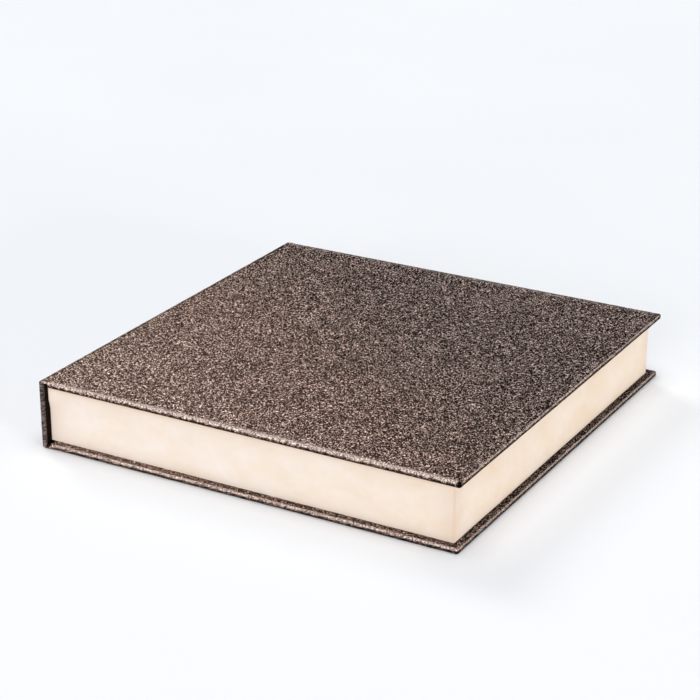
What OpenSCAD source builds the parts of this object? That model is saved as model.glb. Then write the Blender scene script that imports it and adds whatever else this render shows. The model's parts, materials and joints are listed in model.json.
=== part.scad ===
// Book-style presentation box for a square album.
// A three-panel case (lid, spine, base) wrapped in one cloth, with a suede-lined tray glued
// to the base and the spine. The lid hangs on the strip of cloth along the top of the spine:
// the strip folds up from the spine, and the lid folds as far again from the strip.
// Millimetres. +Z is up, the spine is at -X and the fore edge at +X, the tail faces -Y.
// The origin is on the surface that the box stands on, below its middle.

/* [Inside of the tray] */
// Clear width, from the lining at the spine to the lining at the fore edge
inside_w = 306; // [200:1:420]
// Clear length, from the tail lining to the head lining
inside_d = 308; // [240:1:420]
// Clear depth, from the floor lining to the rim
inside_h = 39; // [20:0.5:90]

/* [Boards] */
// Thickness of the lid board and the base board
board_t = 3; // [2.5:0.1:4.5]
// Thickness of the spine board
spine_t = 2; // [1.5:0.1:4]
// Thickness of the four tray walls
wall_t = 5; // [4.5:0.1:8]
// Thickness of the tray floor
floor_t = 2.5; // [1.5:0.1:4]
// Rounding of the pressed board edges
edge_r = 0.7; // [0.3:0.1:1]
// Rounding of the lid and base corners, seen from above
corner_r = 1.6; // [1.2:0.1:4]

/* [Case] */
// How far the lid reaches past the tray at the head, the tail and the fore edge
square = 7; // [6:0.5:14]
// Cloth joint between the spine and the lid or base board
joint = 4.8; // [4:0.1:8]
// How much shorter the base is than the lid at the fore edge
base_short_fore = 1; // [0:0.1:2.5]
// How much shorter the base is than the lid at the head, and again at the tail
base_short_ends = 0; // [0:0.1:1.5]

/* [Coverings] */
// Thickness of the case cloth and of the infill cards
cloth_t = 0.35; // [0.25:0.05:0.6]
// Width of the cloth that is turned in over the boards
turn_in = 16; // [12:0.5:24]
// Thickness of the suede on the tray and inside the lid
suede_t = 0.5; // [0.4:0.05:0.8]
// How far the tray's suede is turned down inside the walls
rim_turn = 14; // [6:0.5:18]
// Thickness of the suede-covered cards that line the walls
wall_lining_t = 1; // [0.9:0.05:1.6]
// Width of turned-over suede left showing between the rim and the wall linings
rim_reveal = 3; // [1:0.5:5]
// Thickness of the suede-covered card that lines the floor
floor_lining_t = 0.8; // [0.6:0.1:2]
// Border of case cloth left showing round the lid lining
lid_reveal = 5; // [3:0.5:8]
// Gap between the lid lining and the rim of the tray when the box is shut
lid_gap = 0.3; // [0.3:0.05:1]

/* [Tray corners] */
// Thickness of the paper tape over each corner of the tray
tape_t = 0.2; // [0.1:0.05:0.3]
// Width of each leg of the paper tape
tape_w = 18; // [10:1:30]

/* [Closure] */
// Diameter of the disc magnets in the lid
magnet_d = 10; // [6:0.5:12]
// Thickness of the disc magnets
magnet_h = 2; // [1:0.1:2]
// Distance between the two magnets along the fore edge
magnet_pitch = 170; // [80:5:200]
// Length of the steel keeper plates in the rim of the fore wall
keeper_l = 30; // [15:1:36]
// Width of the keeper plates
keeper_w = 4; // [2:0.1:4]
// Thickness of the keeper plates
keeper_t = 0.6; // [0.4:0.1:1.2]
// Play round a magnet or a keeper in its seat
seat_play = 0.1; // [0.05:0.05:0.2]

/* [Hidden] */
// Thickness of a covered board: cloth outside, turned-in cloth or infill card inside
covered_t = board_t + 2 * cloth_t;
spine_covered_t = spine_t + 2 * cloth_t;

// The tray's outside, with its suede
tray_w = inside_w + 2 * (wall_lining_t + wall_t + suede_t);
tray_d = inside_d + 2 * (wall_lining_t + wall_t + suede_t);
tray_h = floor_t + floor_lining_t + inside_h;

// The shut box
case_w = spine_covered_t + cloth_t + tray_w + square;
case_d = tray_d + 2 * square;
case_h = covered_t + tray_h + lid_gap + suede_t + covered_t;

// Levels
tray_z = covered_t;
wall_z = tray_z + floor_t;
rim_z = tray_z + tray_h;
lid_z = case_h - covered_t;

// Places across the box, from the spine to the fore edge
spine_x = -case_w / 2;
spine_in = spine_x + spine_covered_t;
tray_x = spine_in + cloth_t;
tray_fore = tray_x + tray_w;
tray_middle = tray_x + tray_w / 2;
board_x = spine_in + joint;
lid_fore = case_w / 2;
base_fore = lid_fore - base_short_fore;

// Half lengths along the box, from the middle to the head
lid_y = case_d / 2;
base_y = lid_y - base_short_ends;
tray_y = tray_d / 2;
window_y = lid_y - turn_in;

// The walls inside their suede
wall_x = tray_x + suede_t;
wall_fore = tray_fore - suede_t;
wall_y = tray_y - suede_t;
wall_top = rim_z - suede_t;
turn_z = wall_top - rim_turn;
wall_in_x = wall_x + wall_t;
wall_in_fore = wall_fore - wall_t;
wall_in_y = wall_y - wall_t;
lining_x = wall_in_x + wall_lining_t;
lining_fore = wall_in_fore - wall_lining_t;
lining_y = wall_in_y - wall_lining_t;
closure_x = wall_fore - wall_t / 2;

// The spine lining stops this far short of the head and the tail
lining_short = 3;
// Radius of the suede's outer edges and of the lining panels' corners
suede_r = suede_t + tape_t;
panel_r = 1;
// Width and depth of the seam where two turned-in edges meet at a corner
seam_w = 0.3;
seam_h = 0.2;
// How far a cut runs past the material that it cuts
over = 1;

// The joint strip folds along two lines in the outer face of the lid, both parallel to Y.
// Each fold makes half of the lid's swing, which ends just before its fore edge meets the table.
swing_clear = 0.6;
half_swing = 90 + asin((case_h + joint - swing_clear) / (lid_fore - board_x)) / 2;
echo(fold_at_spine = [spine_in, 0, case_h]);
echo(fold_at_lid = [board_x, 0, case_h]);
echo(each_fold_turns_up_to = half_swing);

cloth_colour = [0.36, 0.27, 0.22];
suede_colour = [0.93, 0.87, 0.80];
board_colour = [0.55, 0.53, 0.50];
paper_colour = [0.72, 0.60, 0.44];
magnet_colour = [0.78, 0.79, 0.80];
steel_colour = [0.62, 0.63, 0.64];

$fn = 48;

// ---- Shared shapes ----

// A rectangle between two corners, with true arcs of radius r
module round_rect(low, high, r) {
    size = high - low;
    translate(low + [r, 0]) square(size - [2 * r, 0]);
    translate(low + [0, r]) square(size - [0, 2 * r]);
    for (x = [low[0] + r, high[0] - r], y = [low[1] + r, high[1] - r])
        translate([x, y]) circle(r);
}

// A plain block between two corners
module block(low, high) {
    translate(low) cube(high - low);
}

// An outline in X and Z, drawn out along Y between -half and half
module along_y(half) {
    translate([0, half, 0]) rotate([90, 0, 0]) linear_extrude(2 * half) children();
}

// An outline in Y and Z, drawn out along X
module along_x(from, to) {
    translate([from, 0, 0]) rotate([90, 0, 90]) linear_extrude(to - from) children();
}

// A block with its level edges rounded by r and its upright corners by plan_r
module soft_block(low, high, r, plan_r) {
    intersection() {
        along_y(high[1]) round_rect([low[0], low[2]], [high[0], high[2]], r);
        along_x(low[0], high[0]) round_rect([low[1], low[2]], [high[1], high[2]], r);
        translate([0, 0, low[2]]) linear_extrude(high[2] - low[2])
            round_rect([low[0], low[1]], [high[0], high[1]], plan_r);
    }
}

// A rounded plate whose edge at low X stays square and stands open for the cloth joint
module panel(low, high, r, plan_r) {
    intersection() {
        soft_block(low - [2 * plan_r, 0, 0], high, r, plan_r);
        block(low, high);
    }
}

// A lid or base board, drawn for its own cover with the cloth on every side but the joint
module case_board(fore, half_y, z) {
    panel([board_x, cloth_t - half_y, z + cloth_t],
          [fore - cloth_t, half_y - cloth_t, z + cloth_t + board_t], edge_r, corner_r);
}

// The cloth round a lid or base board. inner_z is the level of the turned-in layer.
module case_cover(fore, half_y, z, inner_z) {
    difference() {
        panel([board_x, -half_y, z], [fore, half_y, z + covered_t],
              edge_r + cloth_t, corner_r + cloth_t);
        for (past = [0, -over]) translate([past, 0, 0]) case_board(fore, half_y, z);
        block([board_x - over, -window_y, inner_z - over / 2],
              [fore - turn_in, window_y, inner_z + cloth_t + over / 2]);
        for (s = [-1, 1]) corner_seam(fore, s * half_y, inner_z, s);
    }
}

// The mitred seam between two turned-in edges, cut into the face that shows
module corner_seam(fore, y, inner_z, s) {
    face = inner_z < case_h / 2 ? inner_z + cloth_t - seam_h : inner_z;
    translate([fore, y, face]) rotate([0, 0, 180 + 45 * s])
        translate([corner_r, -seam_w / 2, 0]) cube([turn_in * sqrt(2), seam_w, seam_h]);
}

// The card that levels a board between its turned-in edges and the lining at the joint
module case_infill(fore, z) {
    block([board_x + turn_in, -window_y, z], [fore - turn_in, window_y, z + cloth_t]);
}

// Outlines of the inner cloth at the lower joint: across the gap, up the board's square edge,
// and onto the board's inner face. A lower foot runs into the cloth below, so they are one sheet.
module across_gap(foot) {
    translate([spine_in, foot]) square([joint, 2 * cloth_t - foot]);
}

module up_edge(foot) {
    translate([board_x - cloth_t, foot]) square([cloth_t, covered_t - foot]);
}

module onto_board() {
    translate([board_x - cloth_t, cloth_t + board_t]) square([turn_in + cloth_t, cloth_t]);
}

// The same outlines upside down, for the joint at the lid
module at_lid() {
    translate([0, case_h]) mirror([0, 1]) children();
}

// The two ends of a joint, where its cloth is turned in as far as the window of the boards
module joint_ends(half_y) {
    for (s = [-1, 1]) translate([0, s * (half_y + window_y) / 2, 0])
        along_y((half_y - window_y) / 2) children();
}

// ---- Lid ----

module lid_board() {
    color(board_colour) difference() {
        case_board(lid_fore, lid_y, lid_z);
        magnet_discs(seat_play);
    }
}

module lid_cover() {
    color(cloth_colour) {
        case_cover(lid_fore, lid_y, lid_z, lid_z);
        joint_ends(lid_y) at_lid() up_edge(2 * cloth_t);
        joint_ends(lid_y - edge_r - cloth_t) at_lid() onto_board();
    }
}

// The end of the joint's inner strip, glued over the edge and the inner face of the lid board
module lid_joint_tab() {
    color(cloth_colour) along_y(window_y) at_lid() {
        up_edge(2 * cloth_t);
        onto_board();
    }
}

module lid_infill() {
    color(paper_colour) case_infill(lid_fore, lid_z);
}

module lid_lining() {
    color(suede_colour) translate([0, 0, lid_z - suede_t]) linear_extrude(suede_t)
        round_rect([board_x + lid_reveal, lid_reveal - lid_y],
                   [lid_fore - lid_reveal, lid_y - lid_reveal], panel_r);
}

// Two discs over the middle of the fore wall, flush with the board's inner face
module magnet_discs(play) {
    for (s = [-1, 1])
        translate([closure_x, s * magnet_pitch / 2, lid_z + cloth_t])
            cylinder(d = magnet_d + 2 * play, h = magnet_h + play);
}

module lid_magnets() {
    color(magnet_colour) magnet_discs(0);
}

// ---- Joint strip ----

// The case cloth between the spine and the lid, with its ends turned in
module hinge_cloth() {
    color(cloth_colour) {
        block([spine_in, -lid_y, case_h - cloth_t], [board_x, lid_y, case_h]);
        joint_ends(lid_y) at_lid() across_gap(0);
    }
}

// The inner strip that doubles the joint between the turned-in ends
module hinge_lining() {
    color(cloth_colour) along_y(window_y) at_lid() across_gap(cloth_t);
}

// ---- Spine ----

// A spine-shaped plate, inset by the given amount on every outer side
module spine_plate(inset, inner_x) {
    r = edge_r + cloth_t - inset;
    low = [spine_x + inset, inset - lid_y, inset];
    high = [inner_x, lid_y - inset, case_h - inset];
    intersection() {
        along_y(high[1]) round_rect([low[0], low[2]], [high[0] + 2 * r, high[2]], r);
        along_x(low[0], high[0]) round_rect([low[1], low[2]], [high[1], high[2]], r);
        translate([0, 0, low[2]]) linear_extrude(high[2] - low[2])
            round_rect([low[0], low[1]], [high[0], high[1]], r);
    }
}

module spine_board() {
    color(board_colour) spine_plate(cloth_t, spine_in - cloth_t);
}

module spine_cover() {
    color(cloth_colour) difference() {
        spine_plate(0, spine_in);
        spine_board();
        block([spine_in - cloth_t - over / 2, -window_y, cloth_t],
              [spine_in + over, window_y, case_h - cloth_t]);
    }
}

module spine_infill() {
    color(paper_colour)
        block([spine_in - cloth_t, -window_y, cloth_t], [spine_in, window_y, case_h - cloth_t]);
}

// The inner strip down the spine, across the lower joint and onto the base board
module spine_lining() {
    color(cloth_colour) {
        block([spine_in, lining_short - lid_y, 2 * cloth_t],
              [tray_x, lid_y - lining_short, case_h - 2 * cloth_t]);
        along_y(window_y) {
            translate([spine_in, cloth_t]) square([cloth_t, 2 * cloth_t]);
            across_gap(cloth_t);
            up_edge(cloth_t);
            onto_board();
        }
    }
}

// ---- Base ----

module base_board() {
    color(board_colour) case_board(base_fore, base_y, 0);
}

module base_cover() {
    flat_y = base_y - edge_r - cloth_t;
    color(cloth_colour) {
        case_cover(base_fore, base_y, 0, tray_z - cloth_t);
        block([spine_in, -base_y, 0], [board_x, base_y, cloth_t]);
        block([spine_in, -flat_y, 0], [board_x + turn_in, flat_y, cloth_t]);
        joint_ends(base_y) {
            across_gap(0);
            up_edge(0);
        }
        joint_ends(flat_y) onto_board();
    }
}

module base_infill() {
    color(paper_colour) case_infill(base_fore, tray_z - cloth_t);
}

// ---- Tray ----

module tray_floor() {
    color(board_colour) block([wall_x, -wall_y, tray_z], [wall_fore, wall_y, wall_z]);
}

// The tail and head walls run the whole width, and the other two stand between them
module end_wall(s) {
    color(board_colour) translate([0, s * (wall_y + wall_in_y) / 2, 0])
        block([wall_x, -wall_t / 2, wall_z], [wall_fore, wall_t / 2, wall_top]);
}

module tray_wall_tail() {
    end_wall(-1);
}

module tray_wall_head() {
    end_wall(1);
}

module tray_wall_spine() {
    color(board_colour) block([wall_x, -wall_in_y, wall_z], [wall_in_x, wall_in_y, wall_top]);
}

module tray_wall_fore() {
    color(board_colour) difference() {
        block([wall_in_fore, -wall_in_y, wall_z], [wall_fore, wall_in_y, wall_top]);
        keepers(seat_play);
    }
}

// Two plates let into the rim of the fore wall, flush with its top
module keepers(play) {
    size = [keeper_w + 2 * play, keeper_l + 2 * play, keeper_t];
    for (s = [-1, 1])
        translate([closure_x, s * magnet_pitch / 2, wall_top - keeper_t / 2]) {
            cube(size, center = true);
            if (play > 0) translate([0, 0, over / 2]) cube(size, center = true);
        }
}

module keeper_plates() {
    color(steel_colour) keepers(0);
}

// Paper tape folded round each corner of the tray, outside the boards
module corner_tapes() {
    color(paper_colour) for (fore = [0, 1], s = [-1, 1]) corner_tape(fore, s);
}

module corner_tape(fore, s) {
    x = fore ? wall_fore : wall_x;
    out = fore ? 1 : -1;
    translate([x, s * wall_y, tray_z]) mirror([out < 0 ? 1 : 0, 0, 0]) mirror([0, s < 0 ? 1 : 0, 0])
        linear_extrude(wall_top - tray_z) difference() {
            translate([-tape_w, -tape_w]) square(tape_w + tape_t);
            translate([-tape_w - over, -tape_w - over]) square(tape_w + over);
        }
}

// Suede over the outside of the tray, across the rounded rim and down inside the walls
module tray_wrap() {
    low = [tray_x, -tray_y, tray_z];
    high = [tray_fore, tray_y, rim_z];
    color(suede_colour) difference() {
        intersection() {
            soft_block(low - [0, 0, 2 * suede_r], high, suede_r, suede_r);
            block(low, high);
        }
        intersection() {
            along_y(tray_y) mouth(wall_in_x + suede_t, wall_in_fore - suede_t);
            along_x(tray_x, tray_fore) mouth(suede_t - wall_in_y, wall_in_y - suede_t);
        }
        difference() {
            block([wall_x, -wall_y, tray_z - over], [wall_fore, wall_y, wall_top]);
            block([wall_in_x, -wall_in_y, turn_z], [wall_in_fore, wall_in_y, rim_z]);
        }
        corner_tapes();
    }
}

// Outline of the tray's mouth between two walls, flared over the rounded rim
module mouth(from, to) {
    foot = tray_z - over;
    difference() {
        translate([from - suede_r, foot]) square([to - from + 2 * suede_r, tray_h + 2 * over]);
        for (x = [from - suede_r, to + suede_r]) {
            translate([x - suede_r, foot]) square([2 * suede_r, tray_h + over - suede_r]);
            translate([x, rim_z - suede_r]) circle(suede_r);
        }
    }
}

// ---- Linings of the tray ----

module floor_lining() {
    color(suede_colour)
        block([lining_x + seat_play, seat_play - lining_y, wall_z],
              [lining_fore - seat_play, lining_y - seat_play, wall_z + floor_lining_t]);
}

// Outline of a wall lining: out from the wall, and up. It is rebated over the turned-down suede.
module lining_outline() {
    top = rim_z - rim_reveal;
    polygon([[0, wall_z], [wall_lining_t, wall_z], [wall_lining_t, top],
             [suede_t, top], [suede_t, turn_z], [0, turn_z]]);
}

// The tail and head linings run from wall to wall, and are cut back at the turned-down suede
module end_lining(s) {
    color(suede_colour) difference() {
        translate([wall_in_x, s * wall_in_y, 0]) mirror([0, s > 0 ? 1 : 0, 0])
            rotate([90, 0, 90]) linear_extrude(wall_in_fore - wall_in_x) lining_outline();
        for (x = [wall_in_x - over, wall_in_fore - suede_t])
            block([x, -wall_in_y, turn_z], [x + suede_t + over, wall_in_y, rim_z]);
    }
}

module wall_lining_tail() {
    end_lining(-1);
}

module wall_lining_head() {
    end_lining(1);
}

module wall_lining_spine() {
    color(suede_colour) translate([wall_in_x, 0, 0]) along_y(lining_y) lining_outline();
}

module wall_lining_fore() {
    color(suede_colour) translate([wall_in_fore, 0, 0]) mirror([1, 0, 0])
        along_y(lining_y) lining_outline();
}

lid_board();
lid_cover();
lid_infill();
lid_joint_tab();
lid_lining();
lid_magnets();
hinge_cloth();
hinge_lining();
spine_board();
spine_cover();
spine_infill();
spine_lining();
base_board();
base_cover();
base_infill();
tray_floor();
tray_wall_tail();
tray_wall_head();
tray_wall_fore();
tray_wall_spine();
corner_tapes();
keeper_plates();
tray_wrap();
floor_lining();
wall_lining_tail();
wall_lining_head();
wall_lining_fore();
wall_lining_spine();
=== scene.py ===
"""Looks of the book-style presentation box: grained bronze cloth over a cream suede tray."""

import json
import math

import bmesh
import bpy
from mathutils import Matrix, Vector, noise
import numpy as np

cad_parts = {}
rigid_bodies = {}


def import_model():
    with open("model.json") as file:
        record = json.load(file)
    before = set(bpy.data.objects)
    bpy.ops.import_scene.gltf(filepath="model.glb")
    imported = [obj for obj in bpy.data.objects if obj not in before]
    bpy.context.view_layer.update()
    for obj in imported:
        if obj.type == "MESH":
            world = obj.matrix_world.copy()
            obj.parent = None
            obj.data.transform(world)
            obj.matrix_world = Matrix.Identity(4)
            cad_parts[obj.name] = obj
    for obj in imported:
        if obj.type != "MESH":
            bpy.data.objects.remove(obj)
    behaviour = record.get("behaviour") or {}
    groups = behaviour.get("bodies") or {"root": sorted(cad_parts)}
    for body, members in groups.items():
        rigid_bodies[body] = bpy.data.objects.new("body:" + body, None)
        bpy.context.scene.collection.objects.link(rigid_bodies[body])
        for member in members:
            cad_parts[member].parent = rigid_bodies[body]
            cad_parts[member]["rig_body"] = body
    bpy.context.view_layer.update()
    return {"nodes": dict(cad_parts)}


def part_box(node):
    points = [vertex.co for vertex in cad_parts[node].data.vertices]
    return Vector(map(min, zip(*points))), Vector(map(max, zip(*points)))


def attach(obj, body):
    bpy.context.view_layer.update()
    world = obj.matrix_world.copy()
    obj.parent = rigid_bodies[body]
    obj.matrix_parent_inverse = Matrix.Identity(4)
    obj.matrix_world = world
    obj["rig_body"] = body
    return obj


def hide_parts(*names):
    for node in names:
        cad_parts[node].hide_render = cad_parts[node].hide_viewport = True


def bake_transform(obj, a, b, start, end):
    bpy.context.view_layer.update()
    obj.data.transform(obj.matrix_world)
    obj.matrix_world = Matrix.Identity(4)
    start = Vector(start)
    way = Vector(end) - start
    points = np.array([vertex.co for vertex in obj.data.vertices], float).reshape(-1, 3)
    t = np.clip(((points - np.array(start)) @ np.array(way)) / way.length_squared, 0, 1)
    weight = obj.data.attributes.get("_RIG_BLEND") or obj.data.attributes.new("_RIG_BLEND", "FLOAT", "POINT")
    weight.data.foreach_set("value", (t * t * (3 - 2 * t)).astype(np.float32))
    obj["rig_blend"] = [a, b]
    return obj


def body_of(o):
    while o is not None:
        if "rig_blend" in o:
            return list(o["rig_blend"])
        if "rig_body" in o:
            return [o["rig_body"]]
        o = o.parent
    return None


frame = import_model()
NODES = frame["nodes"]

MM = 0.001

# ---- Places and sizes from the frame ----
LID_LOW, LID_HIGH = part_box("lid_cover")
BASE_LOW, BASE_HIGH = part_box("base_cover")
SPINE_LOW, SPINE_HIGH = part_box("spine_cover")
TRAY_LOW, TRAY_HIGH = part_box("tray_wrap")
HINGE_LOW, HINGE_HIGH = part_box("hinge_cloth")
WALL_LOW, WALL_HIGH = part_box("tray_wall_fore")
BOARD_X = HINGE_HIGH.x
SPINE_IN = HINGE_LOW.x
CLOTH = (HINGE_HIGH.z - HINGE_LOW.z) / 2
TURN_IN = LID_HIGH.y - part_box("lid_infill")[1].y
RIM_DEPTH = (WALL_HIGH.x - WALL_LOW.x) + 2 * (TRAY_HIGH.x - WALL_HIGH.x)

# ---- Rounding of the boards' edges and corners in their cloth ----
EDGE_R = 0.7 * MM + CLOTH
CORNER_R = 1.6 * MM + CLOTH


# ---- Node materials ----
class Shader:
    """A procedural material: a Principled shader and the nodes that feed it."""

    def __init__(self, name, **constants):
        self.material = bpy.data.materials.new(name)
        self.material.use_nodes = True
        self.tree = self.material.node_tree
        self.tree.nodes.clear()
        self.surface = self.tree.nodes.new("ShaderNodeBsdfPrincipled")
        out = self.tree.nodes.new("ShaderNodeOutputMaterial")
        self.tree.links.new(self.surface.outputs[0], out.inputs["Surface"])
        for socket, value in constants.items():
            self.feed(self.surface, socket.replace("_", " "), value)
        self.at = self.tree.nodes.new("ShaderNodeTexCoord").outputs["Object"]

    def feed(self, node, socket, value):
        """Links a socket or sets its value."""
        target = node.inputs[socket]
        if isinstance(value, bpy.types.NodeSocket):
            self.tree.links.new(value, target)
        else:
            target.default_value = value

    def node(self, kind, settings, inputs, output=0):
        """Adds a node and gives one of its outputs."""
        made = self.tree.nodes.new(kind)
        for key, value in settings.items():
            setattr(made, key, value)
        for socket, value in inputs.items():
            self.feed(made, socket, value)
        return made.outputs[output]

    def mark(self, name):
        """A number that the mesh carries at each point."""
        return self.node("ShaderNodeAttribute", {"attribute_name": name}, {}, "Fac")

    def noise(self, at, scale, detail=0, rough=0.5, distortion=0.0, output="Fac"):
        """Noise with scale cells to the metre."""
        inputs = {"Vector": at, "Scale": scale, "Detail": detail, "Roughness": rough,
                  "Distortion": distortion}
        return self.node("ShaderNodeTexNoise", {}, inputs, output)

    def stretch(self, scale):
        """Object coordinates scaled on each axis, so that a pattern runs longer where it is small."""
        return self.node("ShaderNodeMapping", {}, {"Vector": self.at, "Scale": scale})

    def along(self, direction):
        """How far a point lies along a direction, in metres if that is a unit."""
        inputs = {0: self.at, 1: direction}
        return self.node("ShaderNodeVectorMath", {"operation": "DOT_PRODUCT"}, inputs, "Value")

    def maths(self, operation, a, b=0.0, c=0.0):
        """A sum, a product or another operation on numbers."""
        return self.node("ShaderNodeMath", {"operation": operation}, {0: a, 1: b, 2: c})

    def centred(self, value, share):
        """A noise about 0 instead of a half, times a share."""
        return self.maths("MULTIPLY", self.maths("SUBTRACT", value, 0.5), share)

    def drifted(self, at, drift, reach):
        """Coordinates that a noise's colour pushes aside by up to the reach."""
        inputs = {0: drift, 1: (reach, reach, reach), 2: at}
        return self.node("ShaderNodeVectorMath", {"operation": "MULTIPLY_ADD"}, inputs)

    def ramp(self, factor, stops):
        """Colours at places from 0 to 1."""
        made = self.tree.nodes.new("ShaderNodeValToRGB")
        ramp = made.color_ramp
        while len(ramp.elements) < len(stops):
            ramp.elements.new(0.5)
        for element, (place, colour) in zip(ramp.elements, stops):
            element.position = place
            element.color = (*colour, 1)
        self.feed(made, "Fac", factor)
        return made.outputs[0]

    def level(self, factor, low, high, to_low=0.0, to_high=1.0):
        """A smooth step of a value, from low to high."""
        return self.node(
            "ShaderNodeMapRange",
            {"interpolation_type": "SMOOTHSTEP"},
            {"Value": factor, "From Min": low, "From Max": high, "To Min": to_low, "To Max": to_high},
        )

    def mix(self, factor, a, b, blend="MIX"):
        """Mixes two colours."""
        made = self.tree.nodes.new("ShaderNodeMix")
        made.data_type = "RGBA"
        made.blend_type = blend
        for index, value in ((0, factor), (6, a), (7, b)):
            if isinstance(value, bpy.types.NodeSocket):
                self.tree.links.new(value, made.inputs[index])
            else:
                made.inputs[index].default_value = value if index == 0 else (*value, 1)
        return made.outputs[2]

    def bump(self, height, distance, strength):
        """A normal that follows a height, whose 1 stands for the distance."""
        inputs = {"Height": height, "Distance": distance, "Strength": strength}
        return self.node("ShaderNodeBump", {}, inputs)

    def finish(self, **links):
        """Feeds the Principled shader and gives the material."""
        for socket, value in links.items():
            self.feed(self.surface, socket.replace("_", " "), value)
        return self.material


def curly_grain(s):
    """The height of the case cloth's grain: short curled ridges with specks and soft patches. Scales
    are in cells to the metre, and a share is how much a pattern adds to the height."""
    ridge_scale = 890
    ridge_steepness = 10.5
    curl_scale = 1000
    curl_reach = 1.2 * MM
    speck_scale = 880
    speck_share = 3.1
    patch_scale = 75
    patch_share = 0.4

    at = s.stretch((1, 0.8, 1))
    curled = s.drifted(at, s.noise(at, curl_scale, output="Color"), curl_reach)
    off_ridge = s.maths("ABSOLUTE", s.maths("SUBTRACT", s.noise(curled, ridge_scale), 0.5))
    ridges = s.maths("SUBTRACT", 1.0, s.maths("MULTIPLY", off_ridge, ridge_steepness))
    specks = s.centred(s.noise(s.at, speck_scale, 1), speck_share)
    patches = s.centred(s.noise(s.at, patch_scale, 3, 0.6), patch_share)
    return s.maths("ADD", ridges, s.maths("ADD", specks, patches))


def case_cloth():
    """Bookbinding cloth with a curly grain: metallic rose-bronze ridges over near-black pits. Where it
    is drawn round an edge its grain opens into pale ribs, with a painted highlight. A painted sheen lightens
    it towards the spine and tail, painted shade darkens folded cloth and the cloth under edges and in
    recesses, and the corner tips are dark."""
    s = Shader("case_cloth", Specular_IOR_Level=0.02, Specular_Tint=(1.0, 0.75, 0.65, 1))
    height = curly_grain(s)
    light = s.level(height, 0.3, 1.0)
    colour = s.ramp(light, [(0.0, (0.010, 0.005, 0.004)), (0.45, (0.024, 0.014, 0.010)),
                            (1.0, (0.97, 0.775, 0.68))])

    # Painted sheen: the cloth is painted paler and warmer, with its pits lifted, towards the corner by the
    # spine and the tail, where the light glances off it.
    painted_sheen = s.maths("ADD", s.along((-0.6, -0.8, 0)), s.centred(s.noise(s.at, 45, 2), 0.12))
    painted_sheen = s.level(painted_sheen, -0.10, 0.28)
    colour = s.mix(1.0, colour, s.mix(painted_sheen, (0.77, 0.77, 0.79), (1.48, 1.27, 1.21)), "MULTIPLY")
    colour = s.mix(painted_sheen, colour, s.mix(1.0, colour, (0.045, 0.026, 0.021), "ADD"))

    # The mesh's marks say where the cloth is drawn over an arris with a painted highlight, folded, darkened
    # by painted shade or seamed.
    # Pale ribs where the cloth is drawn round an arris, with a painted highlight where the arris faces the
    # light.
    ribs = s.noise(s.stretch((1, 1, 0.35)), 900, 1)
    drawn = s.ramp(ribs, [(0.33, (0.12, 0.085, 0.07)), (0.5, (0.50, 0.385, 0.34)),
                          (0.64, (1.0, 0.86, 0.78))])
    colour = s.mix(s.level(s.mark("drawn"), 0.1, 0.8), colour, drawn)
    # Folded cloth shows creased ribs, darkened as painted shade.
    creases = s.noise(s.stretch((0.3, 0.3, 1)), 950, 1)
    folded = s.ramp(creases, [(0.38, (0.030, 0.022, 0.021)), (0.64, (0.25, 0.195, 0.19))])
    colour = s.mix(s.level(s.mark("folded"), 0.1, 0.8), colour, folded)
    seam = s.level(s.maths("ABSOLUTE", s.mark("mitre")), 0.15 * MM, 0.5 * MM, 0.9, 0.0)
    # Painted shade, the dark corner tips and the seam lines turn the cloth near-black.
    painted_shade_and_dark_tips = s.maths("MAXIMUM", s.mark("painted_shade_and_dark_tips"), seam)
    colour = s.mix(s.level(painted_shade_and_dark_tips, 0.0, 1.0), colour, (0.003, 0.002, 0.0015))
    plain = s.maths("SUBTRACT", 1.0, painted_shade_and_dark_tips)
    return s.finish(
        Base_Color=colour,
        Metallic=s.maths("MULTIPLY", s.level(light, 0.4, 0.9, 0.0, 0.55), plain),
        Roughness=s.level(light, 0.0, 1.0, 0.95, 0.4),
        Normal=s.bump(height, 0.2 * MM, 0.7),
    )


def joint_lining():
    """Plain matt book cloth inside the joint, with a fine weave, near-black brown as painted shade for the
    joint's gap.
    """
    s = Shader("joint_lining", Roughness=0.95, Specular_IOR_Level=0.02)
    warp = s.noise(s.stretch((1, 0.15, 1)), 2200, 1)
    weft = s.noise(s.stretch((0.15, 1, 0.15)), 2200, 1)
    weave = s.maths("MAXIMUM", warp, weft)
    colour = s.ramp(weave, [(0.45, (0.003, 0.002, 0.0015)), (0.75, (0.014, 0.009, 0.007))])
    return s.finish(Base_Color=colour, Normal=s.bump(weave, 0.05 * MM, 0.6))


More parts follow.
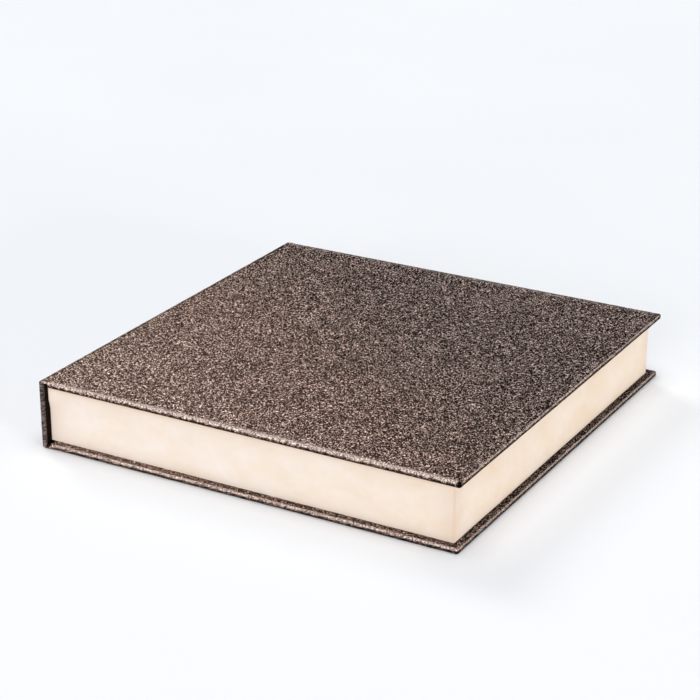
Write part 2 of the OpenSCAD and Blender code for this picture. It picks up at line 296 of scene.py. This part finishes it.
def cream_suede():
    """Faux suede: a short nap, brushed lighter and darker in soft patches. Painted tan shade lies under the
    lid and at the foot, it is tan at the corners, and a painted warm cast lies towards the fore side.
    """
    s = Shader("cream_suede", Roughness=0.92, Specular_IOR_Level=0.2, Sheen_Weight=0.25,
               Sheen_Roughness=0.5)
    nap = s.noise(s.at, 1900, 2, 0.6)
    brushed = s.noise(s.stretch((1, 1, 1.6)), 26, 4, 0.55, distortion=0.6)
    soft = s.noise(s.at, 160, 2)
    colour = s.ramp(brushed, [(0.3, (0.885, 0.755, 0.63)), (0.5, (0.915, 0.81, 0.73)),
                              (0.7, (0.93, 0.845, 0.79))])
    colour = s.mix(s.level(soft, 0.3, 0.7, 0.0, 0.2), colour, (0.86, 0.72, 0.58))
    colour = s.mix(s.level(nap, 0.3, 0.7, 0.0, 0.12), colour, (0.80, 0.66, 0.53))
    # A painted warm cast towards the fore side, where the warm light from the right falls.
    to_fore = s.level(s.along((1, 0.2, 0)), -0.03, 0.15)
    colour = s.mix(to_fore, colour, s.mix(1.0, colour, (0.99, 0.965, 0.925), "MULTIPLY"))
    # Painted tan shade under the lid's overhang and at the foot, and tan at the corners.
    colour = s.mix(s.mark("pressed"), colour, (0.60, 0.42, 0.30))
    height = s.maths("MULTIPLY_ADD", nap, 0.4, soft)
    return s.finish(Base_Color=colour, Normal=s.bump(height, 0.12 * MM, 0.5))


def fibre_board():
    """Grey bookbinder's board: pressed waste paper with darker and lighter fibres."""
    s = Shader("greyboard", Roughness=0.9, Specular_IOR_Level=0.25)
    fibres = s.noise(s.stretch((1, 0.3, 2)), 900, 3, 0.6, distortion=1.0)
    flecks = s.noise(s.at, 1500, 1)
    colour = s.ramp(fibres, [(0.3, (0.20, 0.19, 0.175)), (0.7, (0.33, 0.315, 0.295))])
    colour = s.mix(s.level(flecks, 0.68, 0.75), colour, (0.10, 0.09, 0.08))
    return s.finish(Base_Color=colour, Normal=s.bump(fibres, 0.05 * MM, 0.6))


def paper(name, dark, pale):
    """Smooth paper or card with faint clouding and fibres."""
    s = Shader(name, Roughness=0.8, Specular_IOR_Level=0.3)
    fibres = s.noise(s.stretch((0.4, 1, 1)), 1400, 3, 0.6, distortion=0.8)
    clouds = s.noise(s.at, 90, 2)
    colour = s.mix(s.level(fibres, 0.3, 0.7), dark, pale)
    colour = s.mix(s.level(clouds, 0.3, 0.7, 0.0, 0.25), colour, dark)
    return s.finish(Base_Color=colour, Normal=s.bump(fibres, 0.03 * MM, 0.5))


def metal(name, dark, pale, rough, stretch):
    """Plated or brushed metal with fine scratches."""
    s = Shader(name, Metallic=1.0)
    lines = s.noise(s.stretch(stretch), 1200, 2, 0.6)
    clouds = s.noise(s.at, 200, 2)
    return s.finish(
        Base_Color=s.mix(s.level(clouds, 0.3, 0.7), dark, pale),
        Roughness=s.level(lines, 0.2, 0.8, rough, rough + 0.15),
        Normal=s.bump(lines, 0.01 * MM, 0.5),
    )


BRONZE = case_cloth()
LINING_CLOTH = joint_lining()
SUEDE = cream_suede()
BOARD = fibre_board()
CARD = paper("infill_card", (0.50, 0.46, 0.40), (0.60, 0.56, 0.50))
KRAFT = paper("kraft_paper", (0.36, 0.24, 0.135), (0.46, 0.32, 0.19))
NICKEL = metal("magnet_nickel", (0.60, 0.59, 0.57), (0.68, 0.67, 0.65), 0.15, (1, 1, 0.2))
STEEL = metal("keeper_steel", (0.42, 0.43, 0.44), (0.50, 0.51, 0.52), 0.3, (1, 0.05, 1))

NODE_MATERIALS = {
    BRONZE: ["lid_cover", "hinge_cloth", "spine_cover", "base_cover"],
    LINING_CLOTH: ["lid_joint_tab", "hinge_lining", "spine_lining"],
    SUEDE: ["lid_lining", "tray_wrap", "floor_lining", "wall_lining_tail", "wall_lining_head",
            "wall_lining_fore", "wall_lining_spine"],
    BOARD: ["lid_board", "spine_board", "base_board", "tray_floor", "tray_wall_tail",
            "tray_wall_head", "tray_wall_fore", "tray_wall_spine"],
    CARD: ["lid_infill", "spine_infill", "base_infill"],
    KRAFT: ["corner_tapes"],
    NICKEL: ["lid_magnets"],
    STEEL: ["keeper_plates"],
}
for finish, names in NODE_MATERIALS.items():
    for name in names:
        NODES[name].data.materials.clear()
        NODES[name].data.materials.append(finish)


# ---- Meshes ----
def outline(low, high, radius, inset, closed, step=4 * MM, margin=0.6 * MM, turn=6):
    """Points round a rectangle with rounded corners, drawn in by inset, anticlockwise. Their number
    is the same at any inset. An open outline has no side at its low first coordinate. Sides have a
    point at each step and two more within three margins of their ends, and corners have turn points."""
    (a0, b0), (a1, b1) = low, high
    bend = max(radius, inset)
    arc = max(radius - inset, 0)
    first = a0 + bend if closed else a0
    runs = [((first, b0 + inset), (a1 - bend, b0 + inset), a1 - a0),
            ((a1 - inset, b0 + bend), (a1 - inset, b1 - bend), b1 - b0),
            ((a1 - bend, b1 - inset), (first, b1 - inset), a1 - a0)]
    if closed:
        runs.append(((a0 + inset, b1 - bend), (a0 + inset, b0 + bend), b1 - b0))
    points = []
    for side, (begin, end, length) in enumerate(runs):
        count = round(length / step)
        shares = [0, margin / length, 3 * margin / length]
        shares += [i / count for i in range(1, count)]
        shares += [1 - 3 * margin / length, 1 - margin / length]
        for t in shares:
            points.append(tuple(p + (q - p) * t for p, q in zip(begin, end)))
        if side == 2 and not closed:
            points.append(end)
            break
        centre = ((a1 - bend, b0 + bend), (a1 - bend, b1 - bend),
                  (a0 + bend, b1 - bend), (a0 + bend, b0 + bend))[side]
        for i in range(turn):
            angle = math.radians(90 * (side - 1) + 90 * i / turn)
            points.append((centre[0] + arc * math.cos(angle), centre[1] + arc * math.sin(angle)))
    return points


def rounded(inset, level, towards, radius, steps=5):
    """A quarter round of a profile. From the flat at level it turns towards another level."""
    sign = 1 if towards > level else -1
    quarter = [math.radians(90 * i / steps) for i in range(steps + 1)]
    return [(inset + radius * (1 - math.sin(q)), level + sign * radius * (1 - math.cos(q)))
            for q in quarter]


def build(name, points, faces, finish, body, slot, stands_for=()):
    """A smooth piece that rides on a body."""
    mesh = bpy.data.meshes.new(name)
    mesh.from_pydata(points, [], faces)
    bm = bmesh.new()
    bm.from_mesh(mesh)
    bmesh.ops.remove_doubles(bm, verts=bm.verts, dist=1e-7)
    bmesh.ops.recalc_face_normals(bm, faces=bm.faces)
    for face in bm.faces:
        face.smooth = True
    bm.to_mesh(mesh)
    bm.free()
    mesh.materials.append(finish)
    piece = bpy.data.objects.new(name, mesh)
    bpy.context.scene.collection.objects.link(piece)
    if body:
        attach(piece, body)
    if stands_for:
        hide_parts(*stands_for)
    return piece


def bands(rings, size, closed=True):
    """Faces between rings of size points that follow each other in one list."""
    faces = []
    for k in range(rings - 1):
        here, beyond = k * size, (k + 1) * size
        for i in range(size if closed else size - 1):
            j = (i + 1) % size
            faces.append((here + i, beyond + i, beyond + j, here + j))
    return faces


def shell(name, low, high, radius, profile, place, finish, body, slot, stands_for=(), closed=True,
          end_face=False, **spacing):
    """A sheet wrapped round a plate. Each point of the profile is an inset from the outline and a
    level, and the first one is filled across. place turns two plan values and a level into a point."""
    rings = [[place(a, b, level) for a, b in outline(low, high, radius, inset, closed, **spacing)]
             for inset, level in profile]
    size = len(rings[0])
    points = [point for ring in rings for point in ring]
    faces = [tuple(range(size))] + bands(len(rings), size, closed)
    if end_face:
        faces.append(tuple(k * size for k in range(len(rings)))
                     + tuple((k + 1) * size - 1 for k in reversed(range(len(rings)))))
    return build(name, points, faces, finish, body, slot, stands_for)


def soften(piece, amount, pitch, where=lambda p: 1.0, seed=0.0):
    """Moves points along their normals by smooth noise, so that wrapped edges aren't machined."""
    vertices = piece.data.vertices
    outward = [v.normal.copy() for v in vertices]
    for vertex, normal in zip(vertices, outward):
        lift = noise.noise(vertex.co / pitch + Vector((seed, seed, seed)))
        vertex.co += normal * lift * amount * where(vertex.co)
    piece.data.update()


def mark(piece, name, where):
    """Gives each point a number for the material, such as how pale the drawn cloth and its painted highlight
    are there.
    """
    marks = piece.data.attributes.new(name, "FLOAT", "POINT")
    marks.data.foreach_set("value", [where(v.co) for v in piece.data.vertices])


def near(distance, reach):
    """1 at no distance, fading to 0 over the reach."""
    return math.exp(-(distance / reach) ** 2)


def ease(value, start, reach):
    """0 up to the start, rising evenly to 1 over the reach."""
    return min(1.0, max(0.0, (value - start) / reach))


def flat(a, b, level):
    """The point at two plan values and a level, for a plate that lies flat."""
    return (a, b, level)


def no_seam(p):
    """A distance that keeps every point of a piece clear of a mitre seam."""
    return 1.0


# ---- Case ----
def cover_profile(outer, inner):
    """Section of the cloth round a board, from the outer face to the edge of the turned-in cloth."""
    side = (outer + inner) / 2
    way = 1 if inner > outer else -1
    return ([(inset * MM, outer) for inset in (24, 6, 4, 2.5, 1.5)]
            + rounded(0, outer, inner, EDGE_R)
            + [(0, side - way * 0.4 * MM), (0, side + way * 0.4 * MM)]
            + rounded(0, inner, outer, EDGE_R)[::-1]
            + [(inset * MM, inner) for inset in (1.5, 2.5, 6, 11)]
            + [(TURN_IN, inner), (TURN_IN, inner - way * CLOTH)])


def covered_board(name, low, high, outer, inner, body, stands_for, inward_reach, down_reach,
                  dark_rise, corner_top=math.inf, shade=0.0):
    """A board in its cloth. The cloth is drawn pale along the upper arris, with a painted highlight, as far
    in and down as the reaches. Painted shade darkens it up to dark_rise over the lower arris and, by shade,
    on the upper face, and it is dark at the corner tips up to corner_top."""
    tip = 1.2 * MM
    tip_reach = 1.6 * MM
    cover = shell(name, (BOARD_X, low.y), (high.x, high.y), CORNER_R, cover_profile(outer, inner),
                  flat, BRONZE, body, "case_cloth", stands_for, closed=False, end_face=True)

    def in_from_edge(p):
        return min(high.x - p.x, p.y - low.y, high.y - p.y)

    def near_edge(p):
        return ease(p.x, BOARD_X, 4 * MM) * max(0.0, 1 - in_from_edge(p) / (2.2 * MM))

    def drawn(p):
        # Pale drawn ribs with a painted highlight, strongest on the tail side and weakest at the head, as
        # the light falls.
        at_fore = high.x - p.x < min(p.y - low.y, high.y - p.y)
        at_head = high.y - p.y < 3 * MM
        inwards = 0.7 * MM if at_fore else inward_reach
        upper = near(in_from_edge(p), inwards) * near(high.z - p.z, down_reach)
        return upper * (0.3 if at_head else 0.7 if at_fore else 1.0)

    def painted_shade_and_dark_tips(p):
        # Painted shade under the lower arris and on the ledge under the lid; the corner tips are dark.
        from_tip = min(math.hypot(high.x - tip - p.x, y - p.y) for y in (low.y + tip, high.y - tip))
        from_tip += max(0.0, p.z - corner_top)
        corner = min(1.0, 1.6 - from_tip / tip_reach)
        under = near(max(0.0, p.z - low.z - dark_rise), 0.8 * MM) * near(in_from_edge(p), 0.8 * MM)
        ledge = 0.0
        if abs(p.z - high.z) < 0.2 * MM and in_from_edge(p) > 1.3 * MM:
            ledge = shade * (1 - 0.8 * near(from_tip, 9 * MM)) * (0.8 if p.y < TRAY_LOW.y else 1.2)
        return max(0.7 * under, corner, ledge)

    def mitre(p):
        """Distance from the seam at a corner, on the turned-in face."""
        on_inner = abs(p.z - inner) < 0.01 * MM
        return (p.x - abs(p.y)) - (high.x - high.y) if on_inner else no_seam(p)

    mark(cover, "mitre", mitre)
    mark(cover, "drawn", drawn)
    mark(cover, "painted_shade_and_dark_tips", painted_shade_and_dark_tips)
    soften(cover, 0.16 * MM, 5 * MM, near_edge)


covered_board("lid_cloth", LID_LOW, LID_HIGH, LID_HIGH.z, LID_LOW.z, "lid", ["lid_cover"],
              inward_reach=3.6 * MM, down_reach=1.05 * MM, dark_rise=1.3 * MM)
covered_board("base_cloth", BASE_LOW, BASE_HIGH, BASE_LOW.z, BASE_HIGH.z, "case", ["base_cover"],
              inward_reach=1.6 * MM, down_reach=1.15 * MM, dark_rise=1.3 * MM, corner_top=1.0 * MM,
              shade=0.4)


def spine():
    """The spine board in its cloth. Its ends are folded in and darkened as painted shade, and painted shade
    darkens its inner face in the recess by the tray.
    """
    outer, inner = SPINE_LOW.x, SPINE_HIGH.x
    profile = ([(inset * MM, outer) for inset in (20, 6, 2.5, 1.5)]
               + rounded(0, outer, inner, EDGE_R) + [(0, (outer + inner) / 2)]
               + [(inset * MM, inner) for inset in (0, 1, 2, 3.5, 6)]
               + [(TURN_IN, inner), (TURN_IN, inner - CLOTH)])
    low, high = (SPINE_LOW.z, SPINE_LOW.y), (SPINE_HIGH.z, SPINE_HIGH.y)
    cover = shell("spine_cloth", low, high, EDGE_R, profile, lambda a, b, level: (level, b, a),
                  BRONZE, "case", "case_cloth", ["spine_cover"])

    def from_end(p):
        return BASE_HIGH.y - abs(p.y)

    def painted_shade_and_dark_tips(p):
        # Painted shade on the inner face, in the recess beside the tray.
        on_inner = inner - p.x < 0.4 * MM
        return 1 - near(from_end(p), 2.8 * MM) if on_inner else 0.0

    def between_joints(p):
        return 1.0 if 2 * MM < p.z < HINGE_LOW.z - 2 * MM else 0.0

    mark(cover, "mitre", no_seam)
    # The folded ends are darkened as painted shade.
    mark(cover, "folded", lambda p: near(from_end(p), 5 * MM))
    mark(cover, "painted_shade_and_dark_tips", painted_shade_and_dark_tips)
    soften(cover, 0.14 * MM, 5 * MM, between_joints, seed=3)


spine()


def strip(name, section, lengths, finish, body, slot, stands_for=()):
    """A section in X and Z drawn along Y. Its end faces are filled."""
    size = len(section)
    points = [(x, y, z) for y in lengths for x, z in section]
    last = len(lengths) - 1
    faces = [tuple(range(size)), tuple(range(last * size, (last + 1) * size))] + bands(len(lengths), size)
    return build(name, points, faces, finish, body, slot, stands_for)


def spread(low, high, step):
    """Even places from low to high, about a step apart."""
    count = max(1, round((high - low) / step))
    return [low + (high - low) * i / count for i in range(count + 1)]


def ends_close(low, high):
    """Lengths along a strip, close together near its ends."""
    close = [0, 0.5 * MM, 1 * MM, 1.5 * MM, 2.5 * MM, 4 * MM]
    if high - low < 20 * MM:
        return spread(low, high, 1 * MM)
    return ([low + step for step in close] + spread(low + 6 * MM, high - 6 * MM, 6 * MM)
            + [high - step for step in reversed(close)])


def joint_strip():
    """The cloth joint over the spine. Each half bends at its own fold line."""
    middle = (SPINE_IN + BOARD_X) / 2
    window = LID_HIGH.y - TURN_IN
    half_length = HINGE_HIGH.y
    top = HINGE_HIGH.z
    under = top - CLOTH
    halves = (("spine", SPINE_IN, middle, "case", "joint_strip"),
              ("lid", middle, BOARD_X, "joint_strip", "lid"))
    layers = (("outer", top, -half_length, half_length, BRONZE, "case_cloth", ["hinge_cloth"]),
              ("tail_turn_in", under, -half_length, -window, BRONZE, "case_cloth", []),
              ("inner", under, -window, window, LINING_CLOTH, "joint_cloth", ["hinge_lining"]),
              ("head_turn_in", under, window, half_length, BRONZE, "case_cloth", []))
    for half, begin, end, body, other in halves:
        across = spread(begin, end, 0.3 * MM)
        for layer, upper, tail, head, cloth, slot, stands_for in layers:
            lower = upper - CLOTH
            section = [(x, upper) for x in across] + [(x, lower) for x in reversed(across)]
            made = strip(f"joint_{half}_{layer}", section, ends_close(tail, head), cloth, None, slot)
            mark(made, "mitre", no_seam)
            # Pale drawn cloth with a painted highlight at the strip's ends.
            mark(made, "drawn", lambda p: 0.8 * near(half_length - abs(p.y), 1.6 * MM))
            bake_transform(made, body, other, (begin, 0, top), (end, 0, top))
            if stands_for:
                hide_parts(*stands_for)


joint_strip()


def lower_joint():
    """The cloth across the lower joint, which climbs onto the edge of the base board."""
    high = BASE_HIGH.z
    begin = SPINE_IN - 0.4 * MM
    end = BOARD_X + 3 * MM
    foot = 0.01 * MM
    climb = [(begin, 0.72 * MM), (SPINE_IN + 1.2 * MM, 0.75 * MM),
             (SPINE_IN + 2.4 * MM, 1.05 * MM), (SPINE_IN + 3.4 * MM, 1.8 * MM),
             (BOARD_X - 0.5 * MM, 2.75 * MM), (BOARD_X + 0.3 * MM, 3.4 * MM),
             (BOARD_X + 1.4 * MM, high + 0.02 * MM), (end, high + 0.01 * MM)]
    half_length = BASE_HIGH.y
    made = strip("base_joint_cloth", climb + [(end, foot), (begin, foot)],
                 ends_close(-half_length, half_length), BRONZE, "case", "case_cloth")
    mark(made, "mitre", no_seam)
    # Painted shade near the floor.
    mark(made, "painted_shade_and_dark_tips", lambda p: 0.6 * near(p.z, 1 * MM))


lower_joint()


# ---- Tray ----
def tray():
    """The tray's suede, outside, over the rim and down inside. Painted tan shade lies under the lid and at
    its foot, and it is tan at the corners.
    """
    low, high = TRAY_LOW, TRAY_HIGH
    foot, rim = low.z, high.z
    turned_in = 14.5 * MM
    lap_foot = 31 * MM
    lap_proud = 1.4 * MM
    rows = ([foot + step * MM for step in (0, 0.6, 1.5, 3)]
            + spread(foot + 6 * MM, rim - 11 * MM, 6 * MM)
            + [rim - step * MM for step in (8, 6, 4.5, 3.5, 2.5, 1.6)])
    turn = rounded(0, rim, foot, 0.7 * MM)
    profile = ([(0, z) for z in rows] + turn[::-1] + [(RIM_DEPTH - inset, z) for inset, z in turn]
               + [(RIM_DEPTH, rim - 5 * MM), (RIM_DEPTH, rim - turned_in)])
    rings = [[(x, y, z) for x, y in outline(low.xy, high.xy, 0.9 * MM, inset, True)]
             for inset, z in profile]
    wrap = build("tray_suede", [p for ring in rings for p in ring], bands(len(rings), len(rings[0])),
                 SUEDE, "case", "cream_suede", ["tray_wrap"])

    def from_corner(p):
        return min(math.hypot(x - p.x, y - p.y) for x in (low.x, high.x) for y in (low.y, high.y))

    def outer_faces(p):
        edge = min(abs(p.x - low.x), abs(p.x - high.x), abs(p.y - low.y), abs(p.y - high.y))
        return min(1.0, from_corner(p) / (12 * MM)) if edge < 1 * MM else 0.0

    def pressed(p):
        # Painted shade under the lid's overhang and at the foot; tan at the corners.
        below = rim - p.z
        under_lid = max(0.65 * near(max(0.0, below - 1.9 * MM), 2.4 * MM), 0.2 * near(below, 8 * MM))
        at_foot = 0.22 * near(p.z - foot, 1.5 * MM)
        at_corner = max(0.8 * near(from_corner(p), 1.3 * MM), 0.24 * near(from_corner(p), 12 * MM))
        return max(at_corner, under_lid, at_foot) if p.z < rim else 0.0

    def lap(p):
        """The share of the suede's lap by the spine, which stands proud near the rim."""
        return ease(p.z, lap_foot, 2 * MM) * near(p.x - low.x, 5 * MM) * near(p.y - low.y, 1.5 * MM)

    mark(wrap, "pressed", pressed)
    for vertex in wrap.data.vertices:
        vertex.co.y -= lap_proud * lap(vertex.co)
    soften(wrap, -0.22 * MM, 38 * MM, outer_faces, seed=7)


tray()


def card(name, node, axis, shows_high, radius=0.5 * MM):
    """A suede-covered card, thin along axis 0, 1 or 2. It shows its face at the high or the low end."""
    low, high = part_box(node)
    first, second = [i for i in range(3) if i != axis]
    face, back = (high[axis], low[axis]) if shows_high else (low[axis], high[axis])

    def place(a, b, level):
        point = [0, 0, 0]
        point[first], point[second], point[axis] = a, b, level
        return tuple(point)

    profile = [(4 * MM, face), (1.5 * MM, face)] + rounded(0, face, back, radius) + [(0, back)]
    shell(name, (low[first], low[second]), (high[first], high[second]), 1 * MM, profile, place,
          SUEDE, body_of(NODES[node])[0], "cream_suede", [node], step=8 * MM)


card("floor_card", "floor_lining", axis=2, shows_high=True)
card("tail_card", "wall_lining_tail", axis=1, shows_high=True)
card("head_card", "wall_lining_head", axis=1, shows_high=False)
card("spine_card", "wall_lining_spine", axis=0, shows_high=True)
card("fore_card", "wall_lining_fore", axis=0, shows_high=False)
card("lid_panel", "lid_lining", axis=2, shows_high=False, radius=0.35 * MM)


# ---- Studio ----
def white_to_the_eye(tree, plain, white):
    """Mixes a shader with white, which camera, glossy and transmission rays see."""
    path = tree.nodes.new("ShaderNodeLightPath")
    either = path.outputs["Is Camera Ray"]
    for ray in ("Is Glossy Ray", "Is Transmission Ray"):
        most = tree.nodes.new("ShaderNodeMath")
        most.operation = "MAXIMUM"
        tree.links.new(either, most.inputs[0])
        tree.links.new(path.outputs[ray], most.inputs[1])
        either = most.outputs[0]
    mix = tree.nodes.new("ShaderNodeMixShader")
    tree.links.new(either, mix.inputs[0])
    tree.links.new(plain, mix.inputs[1])
    tree.links.new(white, mix.inputs[2])
    return mix.outputs[0]


def studio_world(fill):
    """A pale backdrop that lights the scene only by the fill, a share of white."""
    world = bpy.data.worlds.new("studio")
    bpy.context.scene.world = world
    world.use_nodes = True
    tree = world.node_tree
    tree.nodes.clear()
    shades = []
    for colour, strength in (((0.97, 0.985, 1.0), fill), ((0.945, 0.96, 0.975), 1.0)):
        made = tree.nodes.new("ShaderNodeBackground")
        made.inputs["Color"].default_value = (*colour, 1)
        made.inputs["Strength"].default_value = strength
        shades.append(made.outputs[0])
    out = tree.nodes.new("ShaderNodeOutputWorld")
    tree.links.new(white_to_the_eye(tree, *shades), out.inputs["Surface"])


def towards(azimuth, elevation):
    """A direction. The azimuth is in degrees from the tail side (-Y) towards the fore side (+X)."""
    turn, rise = math.radians(azimuth), math.radians(elevation)
    return Vector((math.sin(turn) * math.cos(rise), -math.cos(turn) * math.cos(rise), math.sin(rise)))


def soft_light(name, azimuth, elevation, spread, level, colour=(1, 1, 1)):
    """A broad even light. The spread is the angle that its source fills, in degrees, and level is the
    share of white that it gives a facing surface."""
    data = bpy.data.lights.new(name, "SUN")
    data.energy = level * math.pi
    data.angle = math.radians(spread)
    data.color = colour
    made = bpy.data.objects.new(name, data)
    bpy.context.scene.collection.objects.link(made)
    made.rotation_euler = towards(azimuth, elevation).to_track_quat("Z", "Y").to_euler()


def studio_floor():
    """A pale floor, painted brighter towards the front, where more light falls. Other rays than the camera's
    meet a duller one, so that little light comes back up from it."""
    mesh = bpy.data.meshes.new("floor")
    reach = 6.0
    mesh.from_pydata([(-reach, -reach, 0), (reach, -reach, 0), (reach, reach, 0), (-reach, reach, 0)],
                     [], [(0, 1, 2, 3)])
    floor = bpy.data.objects.new("floor", mesh)
    bpy.context.scene.collection.objects.link(floor)
    s = Shader("floor", Roughness=0.9, Specular_IOR_Level=0.1)
    to_front = s.level(s.along((0.49, -0.87, 0)), -0.6, 0.45)
    colour = s.mix(to_front, (0.86, 0.895, 0.93), (0.94, 0.95, 0.985))
    mesh.materials.append(s.finish(Base_Color=s.mix(s.noise(s.at, 3, 2), colour, (0.90, 0.92, 0.95))))
    dull = s.tree.nodes.new("ShaderNodeBsdfDiffuse")
    dull.inputs["Color"].default_value = (0.66, 0.68, 0.70, 1)
    both = white_to_the_eye(s.tree, dull.outputs[0], s.surface.outputs[0])
    s.tree.links.new(both, s.tree.nodes["Material Output"].inputs["Surface"])


studio_world(fill=0.24)
studio_floor()
soft_light("above", azimuth=0, elevation=90, spread=50, level=0.51)
soft_light("front", azimuth=8, elevation=13, spread=30, level=0.43)
soft_light("right", azimuth=70, elevation=5, spread=12, level=0.59, colour=(1.0, 0.95, 0.88))
soft_light("back_left", azimuth=238, elevation=34, spread=20, level=0.26)


# ---- Camera, fitted to the photograph ----
def camera(azimuth, elevation, distance, target, lens):
    """A camera that looks at the target from a direction. The lens is in millimetres."""
    back = towards(azimuth, elevation)
    data = bpy.data.cameras.new("camera")
    data.sensor_width = 36
    data.lens = lens
    data.clip_start = 0.05
    data.clip_end = 50
    made = bpy.data.objects.new("camera", data)
    bpy.context.scene.collection.objects.link(made)
    made.location = Vector(target) + back * distance
    made.rotation_mode = "QUATERNION"
    made.rotation_quaternion = (-back).to_track_quat("-Z", "Y")
    bpy.context.scene.camera = made


camera(azimuth=29.622, elevation=22.378, distance=1.58376, target=(-0.03551, 0.04476, 0.02425),
       lens=107.976)
bpy.context.scene.view_settings.view_transform = "Standard"

bpy.context.view_layer.update()
